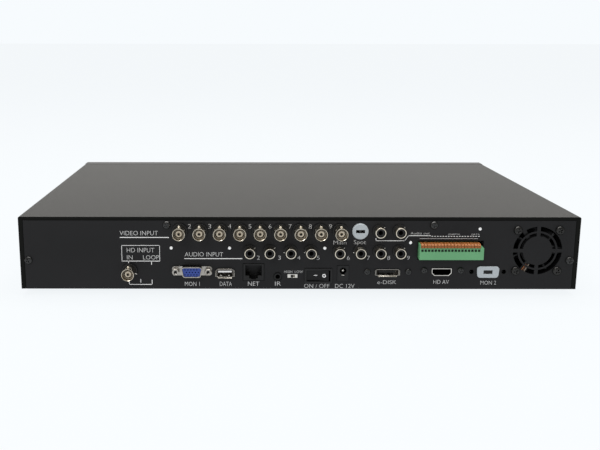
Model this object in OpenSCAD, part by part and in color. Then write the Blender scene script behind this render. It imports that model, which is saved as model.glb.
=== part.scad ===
// Network video recorder in a sheet steel case, seen with its connector panel at -Y.
// Origin: centre of the whole outline, on the surface that the feet stand on. Millimetres.

/* [Case] */
// Width of the case
case_w = 430; // [428:1:440]
// Depth of the steel case, from the connector panel to the bezel
cover_d = 280; // [270:1:320]
// Height of the case above its feet
case_h = 57; // [57:1:60]
// Depth of the moulded front bezel
bezel_d = 18; // [16:1:24]
// Height of the rubber feet
foot_h = 5; // [4:0.5:8]
// Thickness of the sheet steel
sheet_t = 1; // [0.8:0.1:1]

/* [Video and audio jacks] */
// How far the video jacks stand out of the panel
video_reach = 13; // [11:0.5:14]
// Distance between neighbouring video jacks
video_pitch = 15.35; // [14.8:0.05:15.4]
// How far the audio jacks stand out of the panel
audio_reach = 9; // [8:0.5:10]

/* [Terminal block] */
// Distance between neighbouring terminals
terminal_pitch = 2.54; // [2.5:0.01:2.54]
// How far the terminal block stands out of the panel
block_reach = 6; // [5:0.5:8]
// Inward travel of a release lever
lever_travel = 1.2; // [0.8:0.1:1.4]

/* [Cooling fan] */
// Side of the square fan frame
fan_w = 40; // [39:0.5:41]
// Depth of the fan frame
fan_d = 10; // [10:0.5:12]
// Number of fan blades
blades = 7; // [5:1:9]

/* [Controls] */
// Tilt of the power rocker to either side of its middle
rocker_tilt = 8; // [6:0.5:8]
// Travel of the slider that picks the video standard
slider_travel = 1.2; // [1:0.1:1.4]

/* [Hidden] */
$fn = 48;
gap = 0.3;                                   // open seam between neighbouring shells
eps = 0.01;

// The case along Y, and the height of its floor
panel_y = -(cover_d + bezel_d - video_reach) / 2;
front_y = panel_y + cover_d + bezel_d;
groove = 1.5;                                // dark joint between cover and bezel
cover_end = panel_y + cover_d - groove;
lip_side = 3.3;
lip_top = 2.5;
bend_r = 1.2;

// Places on the connector panel: [x, height above the case floor]
video_at = concat([for (i = [0:8]) [-91.6 + i * video_pitch, 45.9]], [[-130.7, 14.4]]);
audio_at = concat([for (x = [-38, -22.7, -6.6, 8.9, 30.7, 46.6, 61.8, 76.9]) [x, 30.1]],
                  [[61.1, 46.3], [76.4, 46.3]]);
monitor_at = [-82.5, 14.6];
data_at = [-57.1, 12.6];
network_at = [-35, 6.8];
remote_at = [-16.3, 10];
standard_at = [-4.85, 10.3];
power_at = [15.2, 10.65];
dc_at = [34.15, 12.6];
disk_at = [68.4, 13.4];
av_at = [110.3, 13.8];
spare_at = [146, 13.9];
spot_at = [46.6, 45.95];
block_at = [116.05, 24.8];
fan_at = [183.3, 30.75];
case_screw_at = [[-208.5, 22.9], [208.5, 22.9], [-101.6, 50.7], [102.8, 50.7]];
port_screw_at = [[52.8, 13.8], [84.6, 13.8], [96.9, 15], [125, 15]];
rivet_at = [[-98.3, 32.7], [-53.5, 32.7], [19.7, 32.7], [85.4, 37.1], [138.1, 47.9]];
foot_at = [for (x = [-180, 180], y = [panel_y + 40, front_y - 45]) [x, y]];

// Video jack
video_hole_r = 6.3;
video_r = 4.85;
video_bore_r = 4.25;
video_collar = 1.6;
lug_r = 1;
fit = 0.04;
// Audio jack
audio_hole_r = 5.3;
audio_r = 4.1;
audio_bore_r = 3.25;
// Monitor socket: a D outline with its screw posts
monitor_w = 16.4;
monitor_h = 8.3;
monitor_slant = 1.4;
monitor_wall = 0.65;
post_gap = 25;
// Blanking plugs
plug_slot_w = 6.9;
// Remote eye jack
eye_r = 2.8;
eye_hole_r = 3.5;
// Terminal block and its row of levers
terminals = 18;
end_walls = [0.8, 2.5];
row_w = terminals * terminal_pitch;
block_w = row_w + end_walls[0] + end_walls[1];
row_x = end_walls[0] - block_w / 2;
block_h = 12.3;
lever_w = terminal_pitch - 0.4;
lever_h = 3.1;
lever_z = 9.4;
lever_len = 8;
entry_w = 1.9;
entry_z = 6.35;
// Fan
fan_bore_r = fan_w / 2 - 1.1;
fan_screw_gap = 32;
hub_r = 11.8;
motor_z = -2.6;                              // back of the motor seat, behind the panel
motor_t = 1.6;
shaft_r = 1;
bearing_play = 0.04;
// Slide switch for the video standard
slider_w = 1.6;
slot_x = 0.25;
// Power rocker: the pivot lies behind the panel face
rocker_depth = 3.4;
rocker_h = 8.3;
rocker_pin_r = 1;
rocker_room = 9.2;
// Boards
board_t = 1.6;
board_z = 4.9;
board_d = 104;
input_y = 14;
// Front controls
power_key_x = 150;
menu_key_x = 118;
key_z = 28;
window_w = 150;
window_h = 22;
window_x = -90;

// ---- Frames and outlines ----

// Turns a drawing in x and height into one on the connector panel; z then runs outwards
module on_panel(at = [0, 0], out = 0) {
    translate([at[0], panel_y - out, foot_h + at[1]]) rotate([90, 0, 0]) children();
}

// The same behind the bezel's front face; z runs outwards, towards +Y
module on_front(at = [0, 0], out = 0) {
    translate([at[0], front_y + out, foot_h + at[1]]) rotate([90, 0, 180]) children();
}

// A slab of an outline on the panel, from one distance outwards to another
module slab(from, to) {
    translate([0, 0, from]) linear_extrude(height = to - from) children();
}

module rect(w, h, r = 0) {
    if (r > 0) {
        square([w - 2 * r, h], center = true);
        square([w, h - 2 * r], center = true);
        for (x = [-1, 1], y = [-1, 1]) translate([x * (w / 2 - r), y * (h / 2 - r)]) circle(r = r);
    } else square([w, h], center = true);
}

function unit(v) = v / norm(v);

// Corner arc between the two straight sides that meet at p
function corner(a, p, b, r, n) =
    let (u = unit(a - p), v = unit(b - p), half = acos(u * v) / 2,
         c = p + unit(u + v) * r / sin(half),
         s = p + u * r / tan(half) - c, e = p + v * r / tan(half) - c,
         a0 = atan2(s[1], s[0]), turn = atan2(e[1], e[0]) - a0,
         sweep = turn > 180 ? turn - 360 : turn < -180 ? turn + 360 : turn)
    [for (i = [0:n]) c + r * [cos(a0 + sweep * i / n), sin(a0 + sweep * i / n)]];

function rounded(pts, r, n = 6) =
    [for (i = [0:len(pts) - 1])
        each corner(pts[(i + len(pts) - 1) % len(pts)], pts[i], pts[(i + 1) % len(pts)], r, n)];

// A socket outline that is narrower at the bottom
module d_outline(w, h, slant, r, grow = 0) {
    a = w / 2 + grow;
    b = h / 2 + grow;
    polygon(rounded([[-a, b], [-a + slant, -b], [a - slant, -b], [a, b]], r + grow));
}

// The media socket outline, with its lower corners cut off
module cut_corner_outline(w, h, cut, grow = 0) {
    a = w / 2 + grow;
    b = h / 2 + grow;
    polygon(rounded([[-a, b], [-a, -b + cut], [-a + cut, -b], [a - cut, -b], [a, -b + cut], [a, b]],
                    0.5, 3));
}

module pan_screw(head_r, head_h, shank_r, length) {
    recess_w = head_r * 0.26;
    difference() {
        intersection() {
            cylinder(r = head_r, h = head_h);
            translate([0, 0, head_h - head_r * 1.6]) sphere(r = head_r * 1.6);
        }
        for (a = [0, 90]) rotate([0, 0, a + 20])
            translate([-head_r * 0.6, -recess_w / 2, head_h * 0.4])
                cube([head_r * 1.2, recess_w, head_h]);
    }
    translate([0, 0, -length]) cylinder(r = shank_r, h = length + head_h * 0.3);
}

// Sheet metal lips bent outwards round the mouth of a socket
module mouth_lips(w, h, lip, sides) {
    t = 0.35;
    lean = 38;
    for (s = sides) {
        across = s % 180 == 0 ? w : h;
        reach = s % 180 == 0 ? h / 2 : w / 2;
        rotate([0, 0, s]) translate([-across * 0.42, reach - t, -0.2])
            rotate([-lean, 0, 0]) cube([across * 0.84, t, lip]);
    }
}

// A round lead through a list of points
module lead(route, r) {
    sides = 8;
    last = len(route) - 1;
    up = [0.31, 0.22, 0.93];
    rings = [for (i = [0:last])
        let (t = unit(route[min(i + 1, last)] - route[max(i - 1, 0)]),
             a = unit(cross(t, up)), b = cross(a, t))
        for (k = [0:sides - 1]) route[i] + r * (cos(360 * k / sides) * a + sin(360 * k / sides) * b)];
    polyhedron(points = rings, faces = concat(
        [[for (k = [sides - 1:-1:0]) k]],
        [for (i = [0:last - 1], k = [0:sides - 1])
            let (n = (k + 1) % sides)
            [i * sides + k, i * sides + n, (i + 1) * sides + n, (i + 1) * sides + k]],
        [[for (k = [0:sides - 1]) last * sides + k]]));
}

// ---- Case ----

module base_tray() {
    color([0.13, 0.13, 0.14]) {
        wall_x = case_w / 2 - sheet_t - gap;
        tray_y = panel_y + sheet_t + gap;
        front_wall_y = cover_end - sheet_t;
        difference() {
            union() {
                translate([-wall_x, tray_y, foot_h])
                    cube([2 * wall_x, front_wall_y + sheet_t - tray_y, sheet_t]);
                for (x = [-wall_x, wall_x - sheet_t])
                    translate([x, tray_y + 4, foot_h]) cube([sheet_t, cover_end - tray_y - 4, 12]);
                translate([-wall_x, front_wall_y, foot_h]) cube([2 * wall_x, sheet_t, case_h - 4]);
            }
            // cable pass-through to the key board
            translate([100, front_wall_y - 1, foot_h + 16]) cube([40, sheet_t + 2, 20]);
        }
        for (x = [-125, 0, 75, 155], y = [panel_y + 24, panel_y + 96])
            translate([x, y, foot_h + sheet_t - eps])
                cylinder(r1 = 4, r2 = 3, h = board_z - sheet_t + eps);
        for (x = [-178, -102], y = [panel_y + 140, panel_y + 236])
            translate([x, y, foot_h + sheet_t - eps]) cylinder(r1 = 5, r2 = 4, h = 4 + eps);
    }
}

module grille_slots() {
    rib = 2.8;
    difference() {
        for (ring = [[18.9, 15.3], [13.9, 11.4]]) difference() {
            circle(r = ring[0]);
            circle(r = ring[1]);
        }
        for (a = [0, 90]) rotate(a) square([fan_w, rib], center = true);
    }
}

module panel_cutouts() {
    for (p = video_at) translate(p) circle(r = video_hole_r);
    for (p = audio_at) translate(p) circle(r = audio_hole_r);
    for (p = case_screw_at) translate(p) circle(r = 1.6);
    for (p = port_screw_at) translate(p) circle(r = 1.35);
    for (p = rivet_at) translate(p) circle(r = 0.95);
    for (x = [-1, 1], z = [-1, 1])
        translate(fan_at + [x, z] * fan_screw_gap / 2) circle(r = 1.6);
    translate(fan_at) grille_slots();
    translate(spot_at) circle(r = 5.7);
    translate(monitor_at) d_outline(monitor_w, monitor_h, monitor_slant, 2, 0.5);
    for (s = [-1, 1]) translate(monitor_at + [s * post_gap / 2, 0]) circle(r = 1.6);
    translate(data_at) rect(14, 6.9);
    translate(network_at + [0, 6.65]) rect(16.6, 13.9);
    translate(remote_at) circle(r = eye_hole_r);
    translate(standard_at) rect(8.3, 3.3);
    translate(power_at) rect(20.2, 10.8);
    translate(dc_at) rect(9.3, 12.6);
    translate(disk_at) rect(18.4, 5.6);
    translate(av_at) cut_corner_outline(15.7, 6.3, 2.2);
    translate(spare_at) d_outline(15.4, 7.4, 1.2, 2);
    for (s = [-1, 1]) translate(spare_at + [s * 12.45, 0]) circle(r = 1.75);
    translate(block_at + [0.2, block_h / 2 + 0.15]) rect(block_w + 1.6, block_h + 2.7);
}

module rear_panel() {
    panel_w = case_w - 2 * (lip_side + gap);
    panel_h = case_h - lip_top - gap;
    color([0.14, 0.14, 0.145]) on_panel() slab(-sheet_t, 0) difference() {
        translate([0, panel_h / 2]) square([panel_w, panel_h], center = true);
        panel_cutouts();
    }
}

// The cover's section across the case: a flat top with round bends and two sides
module cover_section(w, h, r) {
    translate([-w / 2, 0]) square([w, h - r]);
    translate([-w / 2 + r, 0]) square([w - 2 * r, h]);
    for (x = [-1, 1]) translate([x * (w / 2 - r), h - r]) circle(r = r);
}

module side_vents() {
    for (i = [0:13]) translate([0, panel_y + 150 + i * 7, foot_h + 20])
        cube([case_w + 20, 3, 20]);
}

module top_cover() {
    flange_w = 10;
    length = cover_end - panel_y;
    inner_w = case_w - 2 * sheet_t;
    color([0.2, 0.2, 0.19]) difference() {
        union() {
            on_panel() difference() {
                slab(-length, 0) cover_section(case_w, case_h, bend_r);
                slab(-length - 1, 1) translate([0, -eps]) cover_section(inner_w, case_h - sheet_t, 0.4);
            }
            // lips round the connector panel
            on_panel() slab(-sheet_t, 0) difference() {
                cover_section(case_w, case_h, bend_r);
                translate([0, (case_h - lip_top) / 2])
                    square([case_w - 2 * lip_side, case_h - lip_top + eps], center = true);
            }
            // flanges behind the panel, which its screws pull on
            on_panel() slab(-2 * sheet_t - 0.05, -sheet_t - 0.05) {
                for (x = [-1, 1]) translate([x * (inner_w / 2 - flange_w / 2 + eps), 25])
                    square([flange_w, 16], center = true);
                for (p = [case_screw_at[2], case_screw_at[3]])
                    translate([p[0] + sign(p[0]) * 7, case_h - sheet_t / 2 - 5])
                        square([18, 11], center = true);
            }
        }
        on_panel() for (p = case_screw_at) translate([p[0], p[1], -5]) cylinder(r = 1.5, h = 4.5);
        for (x = [-case_w - 10, 10]) translate([x, 0, 0]) side_vents();
    }
}

module front_bezel() {
    wall = 2.5;
    edge = 4;
    back_y = front_y - bezel_d;
    color([0.1, 0.1, 0.105]) difference() {
        intersection() {
            // plan view, with round front corners
            translate([0, 0, foot_h]) linear_extrude(height = case_h) {
                translate([-case_w / 2, back_y]) square([case_w, bezel_d - edge]);
                translate([-case_w / 2 + edge, back_y]) square([case_w - 2 * edge, bezel_d]);
                for (x = [-1, 1]) translate([x * (case_w / 2 - edge), front_y - edge])
                    circle(r = edge);
            }
            // side view, with a round upper and lower front edge
            translate([-case_w / 2, 0, foot_h]) rotate([90, 0, 90])
                linear_extrude(height = case_w) {
                    translate([back_y, 0]) square([bezel_d - edge, case_h]);
                    translate([back_y, edge]) square([bezel_d, case_h - 2 * edge]);
                    for (z = [edge, case_h - edge]) translate([front_y - edge, z]) circle(r = edge);
                }
        }
        translate([-case_w / 2 + wall, back_y - 1, foot_h + wall])
            cube([case_w - 2 * wall, bezel_d - wall + 1, case_h - 2 * wall]);
        on_front([window_x, key_z]) {
            slab(-wall - 1, 1) rect(window_w - 4, window_h - 4, 2);
            slab(-1.2, 1) rect(window_w + 0.2, window_h + 0.2, 3);
        }
        on_front([power_key_x, key_z]) slab(-wall - 1, 1) circle(r = 7.35);
        on_front([menu_key_x, key_z]) slab(-wall - 1, 1) rect(16.7, 8.7, 2.35);
    }
}

module status_window() {
    color([0.05, 0.02, 0.03]) on_front([window_x, key_z]) {
        slab(-1.15, 0) rect(window_w, window_h, 2.9);
        slab(-2.6, -1.15 + eps) rect(window_w - 4.2, window_h - 4.2, 1.9);
    }
}

module rubber_feet() {
    color([0.06, 0.06, 0.06]) for (p = foot_at) translate([p[0], p[1], 0]) {
        difference() {
            cylinder(r1 = 8.2, r2 = 9, h = foot_h);
            translate([0, 0, -1]) cylinder(r = 3.4, h = 2);
        }
    }
}

module panel_screws() {
    color([0.08, 0.08, 0.085]) {
        for (p = case_screw_at) on_panel(p) pan_screw(3, 1.9, 1.4, 6);
        for (p = port_screw_at) on_panel(p) pan_screw(2.5, 1.5, 1.25, 5);
    }
}

module fan_screws() {
    color([0.22, 0.22, 0.22]) for (x = [-1, 1], z = [-1, 1])
        on_panel(fan_at + [x, z] * fan_screw_gap / 2) pan_screw(3.3, 2.1, 1.4, 9);
}

module panel_rivets() {
    color([0.85, 0.85, 0.85]) for (p = rivet_at) on_panel(p) {
        intersection() {
            cylinder(r = 1.25, h = 0.7);
            translate([0, 0, -1.1]) sphere(r = 1.8);
        }
        translate([0, 0, -2.2]) cylinder(r = 0.85, h = 2.3);
    }
}

// ---- Jacks and sockets ----

module video_jack_shells() {
    lug_out = video_reach - 5;
    color([0.72, 0.68, 0.58]) for (p = video_at) on_panel(p) {
        difference() {
            union() {
                translate([0, 0, -gap]) cylinder(r = video_r, h = video_reach + gap);
                for (a = [90, 270]) rotate([0, 0, a])
                    translate([video_r - 0.6, 0, lug_out]) rotate([0, 90, 0])
                        cylinder(r = lug_r, h = 1.7);
            }
            translate([0, 0, 2]) cylinder(r = video_bore_r, h = video_reach);
            translate([0, 0, -1]) cylinder(r = 1.2, h = 4);
        }
    }
}

module video_jack_insulators() {
    color([0.83, 0.76, 0.62]) for (p = video_at) on_panel(p) difference() {
        union() {
            translate([0, 0, 2]) cylinder(r = video_bore_r - fit, h = 1.2);
            translate([0, 0, 3]) cylinder(r = 3.3, h = video_reach - 9);
            translate([0, 0, 3]) cylinder(r = 2.4, h = video_reach - 5.5);
        }
        translate([0, 0, 1]) cylinder(r = 1.15, h = video_reach);
    }
}

module video_jack_contacts() {
    color([0.85, 0.7, 0.35]) for (p = video_at) on_panel(p) difference() {
        translate([0, 0, -0.25]) cylinder(r = 1.1, h = video_reach - 1.75);
        translate([0, 0, video_reach - 6]) cylinder(r = 0.7, h = 6);
    }
}

module jack_housings() {
    back = input_y - sheet_t;
    color([0.07, 0.07, 0.075]) {
        for (p = video_at) on_panel(p) difference() {
            union() {
                slab(-back, -sheet_t) square([14.2, 14], center = true);
                slab(-sheet_t - eps, video_collar) circle(r = video_hole_r - 0.2);
            }
            slab(-gap - eps, video_collar + 1) circle(r = video_r + fit);
        }
        for (p = audio_at) on_panel(p) difference() {
            union() {
                slab(-back, -sheet_t) rect(12, 11);
                slab(-sheet_t - eps, 0.8) circle(r = audio_hole_r - 0.15);
                slab(0.7, audio_reach - 1.4) circle(r = audio_bore_r - 0.05);
            }
            translate([0, 0, -4]) cylinder(r = 1.7, h = audio_reach + 5);
        }
    }
}

module audio_rings() {
    color([0.78, 0.75, 0.68]) for (p = audio_at) on_panel(p) difference() {
        slab(0.8, audio_reach) circle(r = audio_r);
        slab(0, audio_reach + 1) circle(r = audio_bore_r);
    }
}

module monitor_shell() {
    flange_t = 0.8;
    color([0.8, 0.79, 0.76]) on_panel(monitor_at) difference() {
        union() {
            slab(-2, 6) d_outline(monitor_w, monitor_h, monitor_slant, 2);
            slab(0, flange_t) rect(30.8, 7.2, 2);
        }
        slab(-1.5, 7) d_outline(monitor_w, monitor_h, monitor_slant, 2, -monitor_wall);
        for (s = [-1, 1]) translate([s * post_gap / 2, 0, -3]) cylinder(r = 1.6, h = 5);
        slab(-3, -1) d_outline(monitor_w, monitor_h, monitor_slant, 2, -1.3);
    }
}

module monitor_insert() {
    row_gap = 1.98;
    pin_gap = 2.29;
    color([0.13, 0.2, 0.6]) on_panel(monitor_at) difference() {
        slab(-1.45, 5.3)
            d_outline(monitor_w, monitor_h, monitor_slant, 2, -monitor_wall - 0.15);
        for (row = [-1, 0, 1], i = [-2:2])
            translate([(i + (row == 0 ? 0.25 : -0.25)) * pin_gap, row * row_gap, 2])
                cylinder(r = 0.5, h = 4);
    }
}

module monitor_posts() {
    color([0.78, 0.76, 0.7]) on_panel(monitor_at) for (s = [-1, 1])
        translate([s * post_gap / 2, 0, 0]) difference() {
            union() {
                translate([0, 0, 0.85]) cylinder(r = 2.9, h = 4.4, $fn = 6);
                translate([0, 0, -6]) cylinder(r = 1.4, h = 7);
            }
            translate([0, 0, 1.5]) cylinder(r = 1.25, h = 7);
        }
}

module data_port_shell() {
    w = 13.1;
    h = 6;
    color([0.8, 0.79, 0.77]) on_panel(data_at) {
        difference() {
            slab(-14, 0.6) rect(w, h, 0.6);
            slab(-13.6, 1) rect(w - 0.7, h - 0.7, 0.3);
        }
        translate([0, 0, 0.55]) mouth_lips(w, h, 1.6, [0, 90, 180, 270]);
    }
}

module network_jack() {
    w = 16;
    h = 13.3;
    color([0.05, 0.05, 0.055]) on_panel(network_at + [0, h / 2]) difference() {
        slab(-15, 0.5) rect(w, h, 0.3);
        slab(-11, 1) translate([0, 0.35]) {
            translate([0, 1.1]) rect(12.6, 8.2);
            translate([0, -4]) rect(6.6, 2.4);
            translate([0, -5]) rect(3.6, 2);
        }
    }
}

module socket_contacts() {
    color([0.85, 0.72, 0.4]) {
        // eight sprung wires in the network jack
        on_panel(network_at + [0, 10.3]) for (i = [0:7])
            translate([(i - 3.5) * 1.05 - 0.2, 0, -10.9]) rotate([-12, 0, 0]) cube([0.4, 0.3, 7]);
        // centre pin and side spring of the supply jack
        on_panel(dc_at + [0, 2.1]) {
            translate([0, 0, -10]) cylinder(r = 1, h = 9.2);
            translate([0, 0, -0.85]) sphere(r = 0.95);
        }
        on_panel(dc_at + [0, -1.65]) translate([-1.1, 0, -9]) cube([2.2, 0.5, 9.3]);
    }
}

module remote_eye_jack() {
    color([0.06, 0.06, 0.065]) on_panel(remote_at) difference() {
        union() {
            slab(-1.2, 0.9) circle(r = eye_r);
            slab(-13, -sheet_t - 0.05) rect(6.6, 6.4);
        }
        translate([0, 0, -12]) cylinder(r = 1.8, h = 14);
    }
}

module standard_switch_body() {
    color([0.82, 0.81, 0.78]) on_panel(standard_at) difference() {
        slab(-6, -0.2) rect(7.8, 2.9);
        slab(-4.5, 1) translate([slot_x, -0.1]) rect(slider_travel + slider_w + 0.4, 2.1);
    }
}

module standard_slider() {
    color([0.05, 0.05, 0.05]) on_panel(standard_at + [slot_x - slider_travel / 2, -0.1]) {
        slab(-4.2, 0.1) rect(slider_w, 1.7);
        for (z = [-0.45, 0.45])
            translate([-slider_w / 2, z - 0.12, 0.1 - eps]) cube([slider_w, 0.24, 0.25]);
    }
}

module power_switch_frame() {
    wall = 0.75;
    color([0.05, 0.05, 0.055]) on_panel(power_at) difference() {
        union() {
            slab(0, 1) rect(21.4, 11.4, 0.8);
            slab(-13, 0.1) rect(2 * rocker_room + 2 * wall, 2 * (rocker_h / 2 + 0.3 + wall));
            for (x = [-6, 0, 6]) translate([x - 0.4, -2.4, -18]) cube([0.8, 4.8, 6]);
        }
        slab(-11, 2) rect(2 * rocker_room, rocker_h + 0.6);
        translate([0, 0, -rocker_depth]) rotate([90, 0, 0])
            cylinder(r = rocker_pin_r + 0.06, h = 20, center = true);
    }
}

module power_rocker() {
    half = 8.5;
    ridge = 2.4;
    crest = ridge + half * tan(rocker_tilt);
    profile = [[-half, crest], [0, ridge], [half, crest], [8.85, 0.5], [5, -2.2], [-5, -2.2],
               [-8.85, 0.5]];
    color([0.04, 0.04, 0.045]) on_panel(power_at, -rocker_depth)
        rotate([-90, 0, 0]) rotate([0, 0, -rocker_tilt]) {
            linear_extrude(height = rocker_h, center = true)
                polygon([for (p = profile) [p[0], -p[1]]]);
            cylinder(r = rocker_pin_r, h = rocker_h + 1.6, center = true);
        }
}

module dc_jack() {
    w = 8.9;
    h = 12.2;
    color([0.05, 0.05, 0.055]) on_panel(dc_at) difference() {
        slab(-14, 0.5) rect(w, h, 0.4);
        translate([0, 2.1, -10]) cylinder(r = 2.6, h = 12);
        slab(-9.5, 2) translate([0, -1.1]) square([2.8, 1.7], center = true);
    }
}

module disk_port_shell() {
    w = 17.4;
    h = 4.9;
    color([0.78, 0.77, 0.75]) on_panel(disk_at) {
        difference() {
            slab(-13, 0.7) rect(w, h, 0.4);
            slab(-12.6, 2) rect(w - 0.6, h - 0.6, 0.3);
        }
        translate([0, 0, 0.65]) mouth_lips(w, h, 1.5, [90, 180, 270]);
    }
}

module av_port_shell() {
    w = 15.1;
    h = 5.7;
    color([0.8, 0.79, 0.77]) on_panel(av_at) difference() {
        union() {
            slab(-12, 0.2) cut_corner_outline(w, h, 2);
            slab(0.1, 0.8) cut_corner_outline(w, h, 2, 0.1);
        }
        slab(-11.6, 2) cut_corner_outline(w - 0.8, h - 0.8, 1.8);
    }
}

module socket_tongues() {
    color([0.06, 0.06, 0.06]) {
        on_panel(data_at + [0, 1.1]) slab(-13.5, -0.6) rect(11.4, 1.9);
        on_panel(disk_at + [0, 0.2]) slab(-12.5, -0.8) rect(13, 1.3);
        on_panel(av_at + [0, 0.3]) slab(-11.5, -0.3) rect(11, 1.3);
    }
}

module spot_plug() {
    color([0.75, 0.78, 0.8]) on_panel(spot_at) difference() {
        union() {
            cylinder(r = 6.2, h = 1);
            translate([0, 0, 1 - eps]) cylinder(r1 = 6.2, r2 = 5.8, h = 0.5);
            translate([0, 0, -4]) cylinder(r = 5.6, h = 4.1);
        }
        slab(-5, 2) rect(plug_slot_w, 2.5);
    }
}

module monitor_plug() {
    color([0.75, 0.78, 0.8]) on_panel(spare_at) difference() {
        union() {
            slab(0, 1.4) d_outline(17.6, 9, 0.8, 2.4);
            slab(-4, 0.1) d_outline(15, 7, 1.2, 1.8);
        }
        slab(-5, 2) rect(plug_slot_w, 2.9);
    }
}

// ---- Terminal block ----

module terminal_block() {
    depth = 12;
    color([0.36, 0.65, 0.42]) on_panel(block_at) difference() {
        translate([-block_w / 2, 0, -depth]) cube([block_w, block_h, depth + block_reach]);
        // the row of levers is open at the front and at the top
        translate([row_x - 0.1, lever_z - gap, block_reach - lever_len - lever_travel])
            cube([row_w + 0.2, block_h, lever_len + lever_travel + 1]);
        // wire entries
        for (i = [0:terminals - 1])
            translate([row_x + (i + 0.5) * terminal_pitch - entry_w / 2, entry_z, block_reach - 7])
                cube([entry_w, 2, 8]);
        // bevelled corner of the end wall
        translate([block_w / 2 - 2.4, block_h, -depth - 1]) rotate([0, 0, -45])
            translate([0, -0.5, 0]) cube([6, 6, 40]);
    }
}

module terminal_lever(i) {
    x = row_x + (i + 0.5) * terminal_pitch;
    back = block_reach + 0.4 - lever_len;
    color([0.82, 0.42, 0.2]) on_panel(block_at + [x, lever_z]) difference() {
        translate([-lever_w / 2, 0, back]) cube([lever_w, lever_h, lever_len]);
        // screwdriver notch
        translate([-lever_w, lever_h * 0.45, back + lever_len + 0.35]) rotate([45, 0, 0])
            cube([2 * lever_w, 0.9, 0.9]);
        translate([-0.55, 0.7, back + lever_len - 0.7]) cube([1.1, 0.8, 2]);
        // sloping top edge
        translate([-lever_w, lever_h + 0.2, back + lever_len - 1.2]) rotate([45, 0, 0])
            cube([2 * lever_w, 3, 3]);
    }
}

// ---- Fan ----

// An arm of the fan frame, from one direction at the motor seat to another at the rim
module fan_arm(from, to, width) {
    p = (hub_r - 1) * [cos(from), sin(from)];
    q = (fan_bore_r + 0.6) * [cos(to), sin(to)];
    translate([p[0], p[1], motor_z]) rotate([0, 0, atan2(q[1] - p[1], q[0] - p[0])])
        translate([0, -width / 2, 0]) cube([norm(q - p), width, motor_t - 0.1]);
}

module fan_frame() {
    color([0.06, 0.06, 0.06]) on_panel(fan_at, -sheet_t) difference() {
        union() {
            difference() {
                slab(-fan_d, 0) rect(fan_w, fan_w, 3);
                translate([0, 0, -fan_d - 1]) cylinder(r = fan_bore_r, h = fan_d + 2);
            }
            // motor seat, its arms and the stator
            translate([0, 0, motor_z]) cylinder(r = hub_r, h = motor_t - 0.5);
            translate([0, 0, motor_z]) cylinder(r = hub_r - 0.6, h = motor_t);
            fan_arm(18, 3, 1.3);
            fan_arm(128, 124, 3);
            fan_arm(238, 236, 3.6);
            fan_arm(272, 270, 2);
            translate([0, 0, motor_z - 5.4]) cylinder(r = 9, h = 6);
        }
        translate([0, 0, -fan_d]) cylinder(r = shaft_r + bearing_play, h = fan_d - 1.6);
        // the leads leave over the lower edge
        translate([-13.8, -fan_w / 2 - 1, -1]) cube([5.9, 6.5, 2]);
        for (x = [-1, 1], z = [-1, 1])
            translate([x * fan_screw_gap / 2, z * fan_screw_gap / 2, -fan_d - 1])
                cylinder(r = 1.6, h = fan_d + 2);
    }
}

module fan_rotor() {
    cup_top = motor_z - 0.4;
    cup_end = -fan_d + 0.4;
    skin = 1.2;
    tip_r = fan_bore_r - 0.7;
    color([0.05, 0.05, 0.05]) on_panel(fan_at, -sheet_t) {
        difference() {
            translate([0, 0, cup_end]) cylinder(r = hub_r, h = cup_top - cup_end);
            translate([0, 0, cup_end + skin]) cylinder(r = hub_r - skin - 0.6, h = fan_d);
        }
        translate([0, 0, cup_end + 1]) cylinder(r = shaft_r, h = 5.5);
        intersection() {
            difference() {
                translate([0, 0, cup_end]) cylinder(r = tip_r, h = cup_top - cup_end);
                translate([0, 0, -fan_d - 1]) cylinder(r = hub_r - 0.3, h = fan_d + 2);
            }
            for (k = [0:blades - 1]) rotate([0, 0, k * 360 / blades])
                translate([hub_r + 4, 0, (cup_top + cup_end) / 2]) rotate([38, 0, 0])
                    cube([10, 1.1, 11], center = true);
        }
    }
}

// ---- Inside ----

module main_board() {
    x0 = -145;
    x1 = 165;
    y0 = panel_y + 2.6;
    top_z = foot_h + board_z + board_t;
    color([0.05, 0.3, 0.16]) {
        difference() {
            translate([x0, y0, foot_h + board_z]) cube([x1 - x0, board_d, board_t]);
            translate([2, y0 - 1, foot_h]) cube([27, 20, 10]);
            translate([60, y0 - 1, foot_h]) cube([18, 1 + eps, 10]);
        }
        for (c = [[-60, 62, 30, 30, 2.4], [-105, 50, 22, 22, 2], [-105, 84, 18, 12, 2],
                  [95, 45, 24, 24, 2.2], [125, 80, 16, 10, 1.8], [-20, 88, 14, 20, 1.6]])
            translate([c[0] - c[2] / 2, panel_y + c[1] - c[3] / 2, top_z - eps])
                cube([c[2], c[3], c[4] + eps]);
        for (c = [[45, 34, 5, 12], [58, 34, 5, 12], [52, 50, 4, 10], [140, 40, 4, 9]])
            translate([c[0], panel_y + c[1], top_z - eps]) cylinder(r = c[2], h = c[3] + eps);
    }
}

module input_board() {
    color([0.05, 0.3, 0.16]) {
        translate([-102, panel_y + input_y, foot_h + 23]) cube([192, board_t, 31]);
        for (x = [-80, -40, 0, 40])
            translate([x - 8, panel_y + input_y + board_t - eps, foot_h + 32]) cube([16, 1.8, 14]);
    }
}

module heat_sink() {
    fins = 9;
    fin_pitch = 4.3;
    x0 = -2;
    top_z = foot_h + board_z + board_t;
    color([0.6, 0.61, 0.63]) {
        translate([x0, panel_y + 42, top_z + 0.05]) cube([fins * fin_pitch - 2.8, 38, 4]);
        for (i = [0:fins - 1])
            translate([x0 + i * fin_pitch, panel_y + 42, top_z + 3.9]) cube([1.5, 38, 12]);
    }
}

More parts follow.
